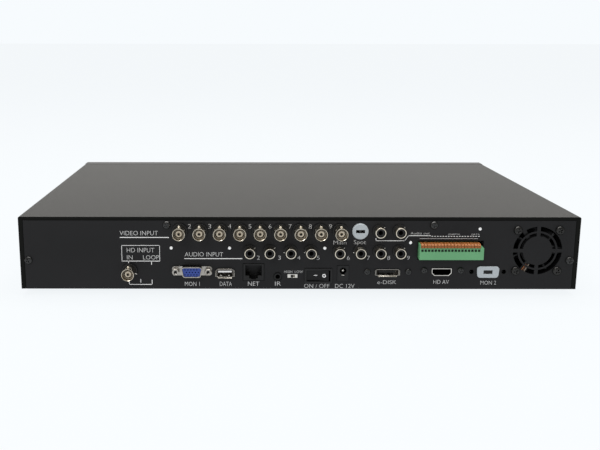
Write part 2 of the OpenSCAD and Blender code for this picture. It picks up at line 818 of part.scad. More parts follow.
module hard_drive() {
    w = 101.6;
    l = 147;
    h = 26.1;
    z0 = foot_h + sheet_t + 4.05;
    x0 = -190.8;
    y0 = panel_y + 112;
    color([0.62, 0.63, 0.64]) difference() {
        union() {
            translate([x0, y0, z0]) cube([w, l, h - 2]);
            translate([x0 + 2, y0 + 2, z0 + h - 2 - eps]) cube([w - 4, l - 4, 2]);
            translate([x0 + 52, y0 + 92, z0 + h - eps]) cylinder(r = 40, h = 0.6);
        }
        translate([x0 + 14, y0 - 1, z0 + 2]) cube([42, 7, 5]);
    }
}

module key_board() {
    board_y = front_y - 11;
    color([0.05, 0.3, 0.16]) difference() {
        translate([96, board_y - board_t, foot_h + 10]) cube([78, board_t, 36]);
        for (x = [102, 168]) translate([x, board_y + 1, foot_h + 28]) rotate([90, 0, 0])
            cylinder(r = 1.6, h = 5);
    }
    color([0.1, 0.1, 0.1]) for (x = [menu_key_x, power_key_x])
        translate([x - 3, board_y - eps, foot_h + key_z - 3]) cube([6, 3 + eps, 6]);
}

module internal_leads() {
    // three fan wires lie on the lower left arm, then drop to the board
    colors = [[0.75, 0.35, 0.1], [0.45, 0.22, 0.1], [0.85, 0.8, 0.7]];
    for (i = [0:2]) {
        s = (i - 1) * 1.25;
        lead_y = panel_y + sheet_t + 0.45;
        color(colors[i]) lead([
            [fan_at[0] - 6.4 + s, lead_y, foot_h + fan_at[1] - 10.6],
            [fan_at[0] - 8.2 + s, lead_y, foot_h + fan_at[1] - 13.4],
            [fan_at[0] - 9.9 + s, lead_y, foot_h + fan_at[1] - 16.2],
            [fan_at[0] - 11.2 + s, lead_y + 0.05, foot_h + fan_at[1] - 20.6],
            [fan_at[0] - 11.6 + s, panel_y + 4, foot_h + fan_at[1] - 21.4],
            [fan_at[0] - 13 + s, panel_y + 14, foot_h + fan_at[1] - 21.6],
            [fan_at[0] - 22 + s, panel_y + 30, foot_h + 9],
            [fan_at[0] - 26 + s, panel_y + 44, foot_h + 7.4]], 0.42);
    }
    // drive cable, from the drive's socket round to the main board
    color([0.1, 0.1, 0.1]) lead([
        [-160, panel_y + 116, foot_h + 9.6], [-160, panel_y + 108, foot_h + 9.6],
        [-152, panel_y + 98, foot_h + 12], [-138, panel_y + 92, foot_h + 14],
        [-126, panel_y + 90, foot_h + 12], [-122, panel_y + 90, foot_h + 9.6]], 1.8);
}

// ---- Front controls ----

module power_button() {
    color([0.12, 0.12, 0.12]) on_front([power_key_x, key_z]) {
        slab(-3.2, 1.6) circle(r = 7);
        slab(-4.4, -3.2 + eps) circle(r = 8.4);
        slab(-6.6, -4.3) circle(r = 2.2);
    }
}

module menu_button() {
    color([0.12, 0.12, 0.12]) on_front([menu_key_x, key_z]) {
        slab(-3.2, 1.4) rect(16, 8, 2);
        slab(-4.4, -3.2 + eps) rect(18.6, 10.6, 2);
        slab(-6.6, -4.3) circle(r = 2.2);
    }
}

base_tray();
rear_panel();
top_cover();
front_bezel();
status_window();
rubber_feet();
panel_screws();
fan_screws();
panel_rivets();
video_jack_shells();
video_jack_insulators();
video_jack_contacts();
jack_housings();
audio_rings();
monitor_shell();
monitor_insert();
monitor_posts();
data_port_shell();
network_jack();
socket_contacts();
remote_eye_jack();
standard_switch_body();
standard_slider();
power_switch_frame();
power_rocker();
dc_jack();
disk_port_shell();
av_port_shell();
socket_tongues();
spot_plug();
monitor_plug();
terminal_block();
fan_frame();
fan_rotor();
main_board();
input_board();
heat_sink();
hard_drive();
key_board();
internal_leads();
power_button();
menu_button();
terminal_lever(0);  // terminal_lever_01
terminal_lever(1);  // terminal_lever_02
terminal_lever(2);  // terminal_lever_03
terminal_lever(3);  // terminal_lever_04
terminal_lever(4);  // terminal_lever_05
terminal_lever(5);  // terminal_lever_06
terminal_lever(6);  // terminal_lever_07
terminal_lever(7);  // terminal_lever_08
terminal_lever(8);  // terminal_lever_09
terminal_lever(9);  // terminal_lever_10
terminal_lever(10);  // terminal_lever_11
terminal_lever(11);  // terminal_lever_12
terminal_lever(12);  // terminal_lever_13
terminal_lever(13);  // terminal_lever_14
terminal_lever(14);  // terminal_lever_15
terminal_lever(15);  // terminal_lever_16
terminal_lever(16);  // terminal_lever_17
terminal_lever(17);  // terminal_lever_18
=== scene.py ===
"""Looks of the video recorder: printed connector panel, jacks, sockets, terminal block, fan and bezel."""

import math

import bpy
from mathutils import Matrix, Vector


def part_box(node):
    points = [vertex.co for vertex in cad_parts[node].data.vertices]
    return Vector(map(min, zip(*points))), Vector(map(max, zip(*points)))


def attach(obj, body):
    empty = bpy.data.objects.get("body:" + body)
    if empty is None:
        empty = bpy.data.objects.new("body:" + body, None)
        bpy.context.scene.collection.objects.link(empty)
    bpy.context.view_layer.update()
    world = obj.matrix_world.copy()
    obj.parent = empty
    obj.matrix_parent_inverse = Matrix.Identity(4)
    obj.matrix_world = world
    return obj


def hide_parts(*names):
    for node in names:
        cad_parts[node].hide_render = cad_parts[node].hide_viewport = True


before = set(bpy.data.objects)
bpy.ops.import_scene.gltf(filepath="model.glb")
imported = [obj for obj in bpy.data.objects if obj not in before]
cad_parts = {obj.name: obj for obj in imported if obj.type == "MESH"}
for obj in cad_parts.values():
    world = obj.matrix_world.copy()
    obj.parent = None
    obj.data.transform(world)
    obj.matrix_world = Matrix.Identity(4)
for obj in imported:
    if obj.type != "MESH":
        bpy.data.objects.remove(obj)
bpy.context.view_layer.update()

MM = 0.001
QUARTER = math.pi / 2
CASE = "case"

panel_low, panel_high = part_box("rear_panel")
PANEL_Y = panel_low.y
FLOOR_Z = panel_low.z


# ---- Camera, light and floor ----

LENS = 51.25
LENS_SHIFT = 0.0894
CAMERA_TILT = 12.34
CAMERA_ROLL = -0.06
PAPER_WHITE = (0.93, 0.965, 0.99)
PAPER_TONE = 0.045
PAPER_GLOW = 0.93
ROOM_FRONT = 0.42
ROOM_BACK = 1.13


def add_camera():
    data = bpy.data.cameras.new("camera")
    data.sensor_width = 36
    data.lens = LENS
    data.shift_x = LENS_SHIFT
    data.clip_end = 60
    camera = bpy.data.objects.new("camera", data)
    camera.location = (-0.04074, PANEL_Y - 0.63742, FLOOR_Z + 0.19019)
    camera.rotation_euler = (math.radians(90 - CAMERA_TILT), math.radians(CAMERA_ROLL), 0)
    bpy.context.scene.collection.objects.link(camera)
    bpy.context.scene.camera = camera


def add_softbox(name, place, aim, size, power, colour):
    data = bpy.data.lights.new(name, "AREA")
    data.shape = "RECTANGLE"
    data.size, data.size_y = size
    data.energy = power
    data.color = colour
    lamp = bpy.data.objects.new(name, data)
    lamp.location = place
    lamp.rotation_euler = (Vector(aim) - Vector(place)).to_track_quat("-Z", "Y").to_euler()
    bpy.context.scene.collection.objects.link(lamp)


def add_surround():
    """A white sweep behind the object and a dimmer room in front of it; the backdrop itself looks even."""
    world = bpy.data.worlds.new("studio")
    world.use_nodes = True
    bpy.context.scene.world = world
    tree = world.node_tree
    background = tree.nodes["Background"]
    seen = tree.nodes.new("ShaderNodeLightPath").outputs["Is Camera Ray"]
    split = tree.nodes.new("ShaderNodeSeparateXYZ")
    tree.links.new(tree.nodes.new("ShaderNodeTexCoord").outputs["Generated"], split.inputs[0])
    room = spread_out(tree, split.outputs["Y"], -0.9, 0.75, ROOM_FRONT, ROOM_BACK)
    lighting = maths(tree, "MULTIPLY", room, maths(tree, "SUBTRACT", 1.0, seen))
    tree.links.new(maths(tree, "ADD", lighting, seen), background.inputs["Strength"])
    tree.links.new(mixed(tree, seen, (0.97, 0.955, 0.92), PAPER_WHITE), background.inputs["Color"])


def add_floor():
    deselect()
    bpy.ops.mesh.primitive_plane_add(size=60, location=(0, 0, 0))
    floor = bpy.context.object
    floor.name = "studio_floor"
    paper, tree, shader = new_material("pale paper")
    shader.inputs["Base Color"].default_value = (PAPER_TONE, PAPER_TONE, PAPER_TONE, 1)
    shader.inputs["Roughness"].default_value = 0.95
    shader.inputs["Specular IOR Level"].default_value = 0.0
    shader.inputs["Emission Color"].default_value = (*PAPER_WHITE, 1)
    shader.inputs["Emission Strength"].default_value = PAPER_GLOW
    floor.data.materials.append(paper)


def add_studio():
    bpy.context.scene.view_settings.view_transform = "Standard"
    add_surround()
    add_softbox("ceiling_light", (0, 0.1, 1.6), (0, 0, 0), (1.8, 1.2), 34, (1, 0.99, 0.96))
    add_softbox("front_light", (-0.7, -1.7, 1.2), (0, -0.1, 0.03), (0.9, 0.7), 15, (1, 1, 1))
    add_floor()


# ---- Shared surface effects ----


def new_group(name, inputs, outputs):
    """A shader node group with plain float inputs (name, value) and float or colour outputs."""
    group = bpy.data.node_groups.new(name, "ShaderNodeTree")
    for label, value in inputs:
        socket = group.interface.new_socket(label, in_out="INPUT", socket_type="NodeSocketFloat")
        socket.default_value = value
    for label in outputs:
        group.interface.new_socket(label, in_out="OUTPUT", socket_type="NodeSocketFloat")
    return group, group.nodes.new("NodeGroupInput"), group.nodes.new("NodeGroupOutput")


def noise(tree, coordinates, scale, detail=3, rough=0.55):
    node = tree.nodes.new("ShaderNodeTexNoise")
    node.inputs["Detail"].default_value = detail
    node.inputs["Roughness"].default_value = rough
    tree.links.new(coordinates, node.inputs["Vector"])
    if isinstance(scale, (int, float)):
        node.inputs["Scale"].default_value = scale
    else:
        tree.links.new(scale, node.inputs["Scale"])
    return node.outputs["Fac"]


def maths(tree, operation, first, second=None, clamp=False):
    node = tree.nodes.new("ShaderNodeMath")
    node.operation = operation
    node.use_clamp = clamp
    for socket, value in zip(node.inputs, (first, second)):
        if value is None:
            continue
        if isinstance(value, (int, float)):
            socket.default_value = value
        else:
            tree.links.new(value, socket)
    return node.outputs[0]


def spread_out(tree, value, low, high, to_low=0.0, to_high=1.0):
    node = tree.nodes.new("ShaderNodeMapRange")
    tree.links.new(value, node.inputs["Value"])
    node.inputs["From Min"].default_value = low
    node.inputs["From Max"].default_value = high
    node.inputs["To Min"].default_value = to_low
    node.inputs["To Max"].default_value = to_high
    return node.outputs["Result"]


def make_grain():
    """Fine texture of a coat or moulding: its height, and a fleck that follows it."""
    tree, given, out = new_group("surface grain", [("Size", 1800), ("Depth", 1)], ["Height", "Fleck"])
    place = tree.nodes.new("ShaderNodeTexCoord").outputs["Object"]
    fine = noise(tree, place, given.outputs["Size"], 4, 0.6)
    broad = noise(tree, place, maths(tree, "MULTIPLY", given.outputs["Size"], 0.21), 2, 0.5)
    both = maths(tree, "ADD", maths(tree, "MULTIPLY", fine, 0.7), maths(tree, "MULTIPLY", broad, 0.3))
    tree.links.new(maths(tree, "MULTIPLY", both, given.outputs["Depth"]), out.inputs["Height"])
    tree.links.new(spread_out(tree, fine, 0.35, 0.65), out.inputs["Fleck"])
    return tree


def make_drift():
    """Slow, cloudy change of tone over a whole piece."""
    tree, given, out = new_group("tone drift", [("Size", 14)], ["Mask"])
    place = tree.nodes.new("ShaderNodeTexCoord").outputs["Object"]
    cloud = noise(tree, place, given.outputs["Size"], 3, 0.6)
    tree.links.new(spread_out(tree, cloud, 0.36, 0.64), out.inputs["Mask"])
    return tree


def make_dust():
    """Thin dust that settles on faces that look up."""
    tree, given, out = new_group("settled dust", [("Amount", 0.2)], ["Mask"])
    normal = tree.nodes.new("ShaderNodeNewGeometry").outputs["Normal"]
    split = tree.nodes.new("ShaderNodeSeparateXYZ")
    tree.links.new(normal, split.inputs[0])
    up = spread_out(tree, split.outputs["Z"], 0.5, 1.0)
    place = tree.nodes.new("ShaderNodeTexCoord").outputs["Object"]
    cloud = spread_out(tree, noise(tree, place, 38, 5, 0.7), 0.38, 0.72)
    specks = spread_out(tree, noise(tree, place, 900, 2, 0.5), 0.62, 0.72)
    both = maths(tree, "ADD", maths(tree, "MULTIPLY", cloud, 0.6), maths(tree, "MULTIPLY", specks, 0.5))
    mask = maths(tree, "MULTIPLY", maths(tree, "MULTIPLY", both, up), given.outputs["Amount"], True)
    tree.links.new(mask, out.inputs["Mask"])
    return tree


def make_brushing():
    """Fine lines left by rolling or turning metal, drawn out along X."""
    tree, given, out = new_group("metal lines", [("Size", 2600), ("Depth", 1)], ["Height", "Streak"])
    place = tree.nodes.new("ShaderNodeTexCoord").outputs["Object"]
    stretch = tree.nodes.new("ShaderNodeMapping")
    stretch.inputs["Scale"].default_value = (0.06, 1, 1)
    tree.links.new(place, stretch.inputs["Vector"])
    lines = noise(tree, stretch.outputs["Vector"], given.outputs["Size"], 3, 0.6)
    blotch = noise(tree, place, 420, 3, 0.6)
    tree.links.new(maths(tree, "MULTIPLY", lines, given.outputs["Depth"]), out.inputs["Height"])
    both = maths(tree, "ADD", maths(tree, "MULTIPLY", lines, 0.5), maths(tree, "MULTIPLY", blotch, 0.5))
    tree.links.new(spread_out(tree, both, 0.38, 0.62), out.inputs["Streak"])
    return tree


GRAIN = make_grain()
DRIFT = make_drift()
DUST = make_dust()
BRUSHING = make_brushing()


def use(tree, group, **values):
    node = tree.nodes.new("ShaderNodeGroup")
    node.node_tree = group
    for label, value in values.items():
        node.inputs[label].default_value = value
    return node.outputs


def mixed(tree, mask, first, second):
    """A colour mix; first and second are colours or colour outputs."""
    node = tree.nodes.new("ShaderNodeMix")
    node.data_type = "RGBA"
    tree.links.new(mask, node.inputs["Factor"])
    for label, value in (("A", first), ("B", second)):
        socket = [s for s in node.inputs if s.name == label and s.type == "RGBA"][0]
        if isinstance(value, bpy.types.NodeSocket):
            tree.links.new(value, socket)
        else:
            socket.default_value = (*value, 1)
    return [s for s in node.outputs if s.type == "RGBA"][0]


DUST_TONE = (0.32, 0.31, 0.29)


def new_material(name):
    material = bpy.data.materials.new(name)
    material.use_nodes = True
    tree = material.node_tree
    return material, tree, tree.nodes["Principled BSDF"]


def bump(tree, shader, height, strength, distance):
    node = tree.nodes.new("ShaderNodeBump")
    node.inputs["Strength"].default_value = strength
    node.inputs["Distance"].default_value = distance
    tree.links.new(height, node.inputs["Height"])
    tree.links.new(node.outputs["Normal"], shader.inputs["Normal"])


def moulded(name, tone, shade, rough, specular=0.5, grain=1600, depth=0.3, dust=0.12, coat=0.0):
    """Plastic, rubber or paint: two close tones, a fine grain and a little dust on top."""
    material, tree, shader = new_material(name)
    texture = use(tree, GRAIN, Size=grain, Depth=1.0)
    cloud = use(tree, DRIFT, Size=16)
    settled = use(tree, DUST, Amount=dust)
    body = mixed(tree, cloud["Mask"], tone, shade)
    flecked = mixed(tree, maths(tree, "MULTIPLY", texture["Fleck"], 0.35), body, shade)
    tree.links.new(mixed(tree, settled["Mask"], flecked, DUST_TONE), shader.inputs["Base Color"])
    polish = spread_out(tree, texture["Fleck"], 0, 1, rough - 0.06, rough + 0.06)
    tree.links.new(maths(tree, "ADD", polish, maths(tree, "MULTIPLY", settled["Mask"], 0.3), True),
                   shader.inputs["Roughness"])
    shader.inputs["Specular IOR Level"].default_value = specular
    shader.inputs["Coat Weight"].default_value = coat
    bump(tree, shader, texture["Height"], depth, 0.0002)
    return material


def metal(name, tone, shade, rough, lines=2600, depth=0.15, tarnish=None):
    """Bare or plated metal with fine lines and a slightly uneven sheen."""
    material, tree, shader = new_material(name)
    streak = use(tree, BRUSHING, Size=lines, Depth=1.0)
    cloud = use(tree, DRIFT, Size=160)
    body = mixed(tree, streak["Streak"], tone, shade)
    if tarnish:
        body = mixed(tree, maths(tree, "MULTIPLY", cloud["Mask"], 0.5), body, tarnish)
    tree.links.new(body, shader.inputs["Base Color"])
    tree.links.new(spread_out(tree, streak["Streak"], 0, 1, rough, rough + 0.14),
                   shader.inputs["Roughness"])
    shader.inputs["Metallic"].default_value = 1
    bump(tree, shader, streak["Height"], depth, 0.0001)
    return material


STEEL_COAT = moulded("black powder coat", (0.0045, 0.0045, 0.0052), (0.0068, 0.0066, 0.0075), 0.5,
                     0.24, 2400, 0.35, 0.0)
COVER_COAT = moulded("black cover coat", (0.0014, 0.0016, 0.0011), (0.0024, 0.0026, 0.0019), 0.37,
                     0.11, 2400, 0.22, 0.02)
BEZEL_PLASTIC = moulded("bezel moulding", (0.006, 0.006, 0.0065), (0.009, 0.009, 0.0095), 0.42,
                        0.35, 1500, 0.25, 0.06)
# Black moulding of the real parts, also used for the black fills in slots, holes and wire entries that are
# painted shade.
BLACK_MOULDING_AND_SHADE = moulded("black moulding", (0.0035, 0.0035, 0.004), (0.006, 0.006, 0.0065), 0.4,
                        0.3, 1900, 0.2, 0.0)
GREY_PLASTIC = moulded("dark grey moulding", (0.03, 0.03, 0.03), (0.045, 0.045, 0.045), 0.4,
                       0.3, 1900, 0.2, 0.0)
SATIN_BLACK = moulded("satin black moulding", (0.003, 0.003, 0.0035), (0.005, 0.005, 0.0055), 0.25,
                      0.2, 2600, 0.08, 0.0)
SMOKED = moulded("smoked window", (0.004, 0.0025, 0.003), (0.006, 0.003, 0.004), 0.12,
                 0.5, 3000, 0.02, 0.0, coat=0.6)
KEY_PLASTIC = moulded("key moulding", (0.02, 0.02, 0.021), (0.027, 0.027, 0.028), 0.38,
                      0.4, 1700, 0.2, 0.05)
FOOT_RUBBER = moulded("foot rubber", (0.012, 0.012, 0.012), (0.02, 0.019, 0.018), 0.75,
                      0.25, 1300, 0.5, 0.1)
BLUE_PLASTIC = moulded("blue insert", (0.019, 0.046, 0.235), (0.025, 0.058, 0.28), 0.42,
                       0.4, 2200, 0.15, 0.0)
TAN_PLASTIC = moulded("cream insulator", (0.44, 0.39, 0.31), (0.52, 0.47, 0.385), 0.4,
                      0.4, 2600, 0.1, 0.0)
SPRING_GREY = moulded("warm grey spring", (0.2, 0.18, 0.145), (0.25, 0.225, 0.185), 0.35,
                      0.5, 2600, 0.1, 0.0)
PLUG_PLASTIC = moulded("light grey plug", (0.35, 0.385, 0.41), (0.39, 0.425, 0.45), 0.45,
                       0.4, 1900, 0.2, 0.0)
GREEN_PLASTIC = moulded("green block", (0.096, 0.28, 0.13), (0.118, 0.33, 0.155), 0.42,
                        0.4, 2100, 0.15, 0.05)
ORANGE_PLASTIC = moulded("orange lever", (0.28, 0.094, 0.022), (0.35, 0.125, 0.032), 0.42,
                         0.4, 2400, 0.12, 0.0)
WHITE_INK = moulded("white ink", (0.8, 0.8, 0.8), (0.68, 0.68, 0.68), 0.6, 0.2, 3600, 0.2, 0.0)
WORD_INK = moulded("word ink", (0.56, 0.56, 0.56), (0.47, 0.47, 0.47), 0.6, 0.2, 3600, 0.2, 0.0)
BOARD_GREEN = moulded("green board", (0.008, 0.07, 0.03), (0.012, 0.1, 0.04), 0.35,
                      0.5, 2600, 0.1, 0.05)
LEAD_COLOURS = [
    moulded("orange lead", (0.2, 0.07, 0.02), (0.25, 0.09, 0.03), 0.5, 0.4, 2000, 0.1),
    moulded("brown lead", (0.06, 0.025, 0.012), (0.08, 0.03, 0.015), 0.5, 0.4, 2000, 0.1),
    moulded("ivory lead", (0.2, 0.17, 0.13), (0.24, 0.2, 0.16), 0.5, 0.4, 2000, 0.1),
]
NICKEL = metal("warm nickel", (0.78, 0.73, 0.63), (0.68, 0.63, 0.53), 0.05, 2600, 0.02,
               (0.58, 0.5, 0.38))
BRIGHT_STEEL = metal("tinned steel", (0.68, 0.66, 0.62), (0.58, 0.56, 0.52), 0.07, 2200, 0.03)
DULL_TIN = metal("dull tin", (0.42, 0.4, 0.37), (0.34, 0.32, 0.29), 0.2, 2200, 0.03)
RIVET_STEEL = metal("bright rivet", (0.95, 0.95, 0.95), (0.9, 0.9, 0.9), 0.4, 2200, 0.03)
BRASS = metal("gold flash", (0.75, 0.66, 0.5), (0.65, 0.55, 0.4), 0.15, 2600, 0.03)
BLACK_SCREW = moulded("blackened screw", (0.001, 0.001, 0.001), (0.002, 0.002, 0.002), 0.12,
                      0.55, 2600, 0.03, 0.0)
DARK_SCREW = metal("dark plated screw", (0.03, 0.03, 0.029), (0.042, 0.041, 0.04), 0.1, 2600,
                   0.03)
ALUMINIUM = metal("plain aluminium", (0.62, 0.63, 0.64), (0.5, 0.51, 0.52), 0.35)


# ---- Workshop ----


def deselect():
    for item in bpy.context.selected_objects:
        item.select_set(False)


def activate(piece):
    deselect()
    piece.select_set(True)
    bpy.context.view_layer.objects.active = piece


def apply_modifiers(piece):
    activate(piece)
    for modifier in list(piece.modifiers):
        bpy.ops.object.modifier_apply(modifier=modifier.name)


SHARP_ANGLE = math.radians(35)
SMOOTH_ANGLE = math.radians(45)
TURNED_ANGLE = math.radians(32)


def rounded_edges(piece, width):
    """Breaks the sharp edges of a piece and smooths its round faces."""
    modifier = piece.modifiers.new("edges", "BEVEL")
    modifier.width = width * MM
    modifier.segments = 2
    modifier.limit_method = "ANGLE"
    modifier.angle_limit = SHARP_ANGLE
    apply_modifiers(piece)
    bpy.ops.object.shade_smooth_by_angle(angle=SMOOTH_ANGLE)
    flatten = piece.modifiers.new("flatten", "WEIGHTED_NORMAL")
    flatten.keep_sharp = True
    apply_modifiers(piece)


def finish_piece(piece, name, material, body=CASE, nodes=()):
    piece.name = name
    piece.data.name = name
    piece.data.materials.clear()
    piece.data.materials.append(material)
    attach(piece, body)
    if nodes:
        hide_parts(*nodes)
    return piece


def merged_copy(node):
    """A copy of a CAD node's mesh with its loose triangles joined into clean faces."""
    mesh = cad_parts[node].data.copy()
    piece = bpy.data.objects.new(node + "_copy", mesh)
    bpy.context.scene.collection.objects.link(piece)
    activate(piece)
    bpy.ops.object.mode_set(mode="EDIT")
    bpy.ops.mesh.select_all(action="SELECT")
    bpy.ops.mesh.remove_doubles(threshold=1e-6)
    bpy.ops.mesh.dissolve_limited(angle_limit=math.radians(1))
    bpy.ops.object.mode_set(mode="OBJECT")
    return piece


def softened(node, name, width, material, body=CASE):
    """Stands for a CAD node, with its edges broken."""
    piece = merged_copy(node)
    rounded_edges(piece, width)
    return finish_piece(piece, name, material, body, [node])


def span(piece):
    """Centre and size of a piece."""
    corners = [vertex.co for vertex in piece.data.vertices]
    low = Vector([min(c[i] for c in corners) for i in range(3)])
    high = Vector([max(c[i] for c in corners) for i in range(3)])
    return (low + high) / 2, high - low


def solids_of(node):
    """The separate solids of a CAD node as pieces, by height and then from left to right."""
    merged_copy(node)
    bpy.ops.object.mode_set(mode="EDIT")
    bpy.ops.mesh.select_all(action="SELECT")
    bpy.ops.mesh.separate(type="LOOSE")
    bpy.ops.object.mode_set(mode="OBJECT")
    row = 4 * MM
    return sorted(bpy.context.selected_objects,
                  key=lambda piece: (round(span(piece)[0].z / row), span(piece)[0].x))


def spots(node):
    """Where the separate solids of a CAD node are, as (centre, size) pairs in the same order."""
    found = []
    for piece in solids_of(node):
        found.append(span(piece))
        bpy.data.objects.remove(piece)
    return found


def settle(piece, place):
    """Gives a piece its place, and writes that place into its mesh."""
    piece.matrix_world = place
    activate(piece)
    bpy.ops.object.transform_apply(location=True, rotation=True, scale=True)
    return piece


def on_panel(x, z, out=0.0, spin=0.0):
    """A place on the connector panel, in metres; local Z points out of the panel."""
    return (Matrix.Translation((x, PANEL_Y - out * MM, z)) @ Matrix.Rotation(QUARTER, 4, "X")
            @ Matrix.Rotation(math.radians(spin), 4, "Z"))


def turned(profile, sides=40):
    """Turns (radius, height) pairs in mm round Z; a profile that ends where it began is a ring."""
    radius, height = profile[0]
    deselect()
    bpy.ops.mesh.primitive_circle_add(vertices=sides, radius=radius * MM,
                                      location=(0, 0, height * MM))
    piece = bpy.context.object
    bpy.ops.object.transform_apply(location=True)
    bpy.ops.object.mode_set(mode="EDIT")
    bpy.ops.mesh.select_mode(type="EDGE")
    bpy.ops.mesh.select_all(action="SELECT")
    for next_radius, next_height in profile[1:]:
        rise = (next_height - height) * MM
        bpy.ops.mesh.extrude_region_move(TRANSFORM_OT_translate={"value": (0, 0, rise)})
        grow = next_radius / radius
        bpy.ops.transform.resize(value=(grow, grow, 1), center_override=(0, 0, 0))
        radius, height = next_radius, next_height
    bpy.ops.mesh.select_all(action="SELECT")
    bpy.ops.mesh.remove_doubles(threshold=1e-7)
    if profile[0] != profile[-1]:
        bpy.ops.mesh.fill_holes(sides=0)
    bpy.ops.mesh.select_all(action="SELECT")
    bpy.ops.mesh.normals_make_consistent(inside=False)
    bpy.ops.object.mode_set(mode="OBJECT")
    bpy.ops.object.shade_smooth_by_angle(angle=TURNED_ANGLE)
    return piece


def bar(length, width, height, place=(0, 0, 0), turn=0.0):
    """A square bar along X, drawn out of its own base; sizes in mm."""
    deselect()
    bpy.ops.mesh.primitive_plane_add(size=1)
    piece = bpy.context.object
    piece.scale = (length * MM, width * MM, 1)
    bpy.ops.object.transform_apply(scale=True)
    bpy.ops.object.mode_set(mode="EDIT")
    bpy.ops.mesh.select_all(action="SELECT")
    bpy.ops.mesh.extrude_region_move(TRANSFORM_OT_translate={"value": (0, 0, height * MM)})
    bpy.ops.mesh.select_all(action="SELECT")
    bpy.ops.mesh.normals_make_consistent(inside=False)
    bpy.ops.object.mode_set(mode="OBJECT")
    return settle(piece, Matrix.Translation(Vector(place) * MM)
                  @ Matrix.Rotation(math.radians(turn), 4, "Z"))


def twin(piece):
    copy = bpy.data.objects.new(piece.name + "_twin", piece.data.copy())
    bpy.context.scene.collection.objects.link(copy)
    return copy


def joined(items):
    deselect()
    for item in items:
        item.select_set(True)
    bpy.context.view_layer.objects.active = items[0]
    bpy.ops.object.join()
    return bpy.context.object


def cut(piece, cutter):
    """Takes the cutter's shape out of a piece."""
    modifier = piece.modifiers.new("cut", "BOOLEAN")
    modifier.operation = "DIFFERENCE"
    modifier.solver = "EXACT"
    modifier.object = cutter
    apply_modifiers(piece)
    bpy.data.objects.remove(cutter)
    return piece


def set_out(master, name, places, material, node=None):
    """Puts a finished copy of a piece at each place, and clears the master away."""
    for number, place in enumerate(places, 1):
        copy = settle(twin(master), place)
        finish_piece(copy, "%s_%02d" % (name, number), material, CASE, [node] if node else ())
    bpy.data.objects.remove(master)


# ---- Jacks ----


def video_shell():
    """A bayonet tube with a rounded mouth and two lugs."""
    tube = turned([(4.8, -0.3), (4.8, 12.5), (4.72, 12.85), (4.55, 13), (4.38, 12.9),
                   (4.27, 12.6), (4.27, 2.05), (1.2, 2.05), (1.2, -0.3), (4.8, -0.3)])
    lugs = []
    for side in (1, -1):
        lug = turned([(0.05, 0), (1, 0), (1, 1.2), (0.8, 1.6), (0.05, 1.68)], 20)
        lugs.append(settle(lug, Matrix.Translation((0, side * 4.3 * MM, 8 * MM))
                           @ Matrix.Rotation(-side * QUARTER, 4, "X")))
    return joined([tube] + lugs)


def make_video_jacks():
    places = [on_panel(centre.x, centre.z) for centre, size in spots("video_jack_shells")]
    set_out(video_shell(), "video_shell", places, NICKEL, "video_jack_shells")
    tag = bar(1.6, 0.6, 0.4, (5.45, 0, 1.55), 0)
    rounded_edges(tag, 0.1)
    settle(tag, places[0] @ Matrix.Rotation(math.radians(-20), 4, "Z"))
    finish_piece(tag, "video_ground_tag", BRIGHT_STEEL, CASE)
    insulator = turned([(4.1, 2.05), (4.1, 3), (3.3, 3.1), (3.3, 6.8), (3.1, 7), (2.4, 7.1),
                        (2.4, 10.2), (2.15, 10.5), (1.25, 10.5), (1.15, 10.3), (1.15, 2.05),
                        (4.1, 2.05)])
    set_out(insulator, "video_insulator", places, TAN_PLASTIC,
            "video_jack_insulators")
    contact = turned([(0.05, -0.2), (1.08, -0.2), (1.08, 11), (1.04, 11.15), (0.98, 11.2),
                      (0.94, 11.1), (0.94, 7.2), (0.05, 7.1)], 24)
    set_out(contact, "video_contact", places, BRASS, "video_jack_contacts")
    spring = turned([(4.2, 6), (4.2, 8.8), (4, 9), (3.7, 9), (3.5, 8.8), (3.4, 6), (4.2, 6)])
    set_out(spring, "video_spring_ring", places, SPRING_GREY)
    # Painted shade: a black plug sits deep in each hollow contact, so its bore reads dark.
    well = turned([(0.05, 7.2), (0.92, 7.2), (0.92, 10.3), (0.05, 10.1)], 24)
    set_out(well, "video_contact_painted_shade", places, BLACK_MOULDING_AND_SHADE)


# How far round its jack each audio ground tab sits, in degrees
TAB_TURNS = [35, 35, 190, 190, 35, 190, 35, 35, 35, 35]


def make_audio_jacks():
    centres = [centre for centre, size in spots("audio_rings")]
    places = [on_panel(centre.x, centre.z) for centre in centres]
    ring = turned([(4.1, 0.85), (4.1, 8.6), (3.95, 8.9), (3.7, 9), (3.4, 8.95), (3.27, 8.75),
                   (3.27, 0.85), (4.1, 0.85)])
    set_out(ring, "audio_ring", places, NICKEL, "audio_rings")
    tab = settle(bar(0.9, 0.45, 0.3), Matrix.Translation((4.75 * MM, 0, 0.75 * MM)))
    rounded_edges(tab, 0.08)
    set_out(tab, "audio_ground_tab",
            [on_panel(centre.x, centre.z, 0, turn) for centre, turn in zip(centres, TAB_TURNS)],
            BRIGHT_STEEL)


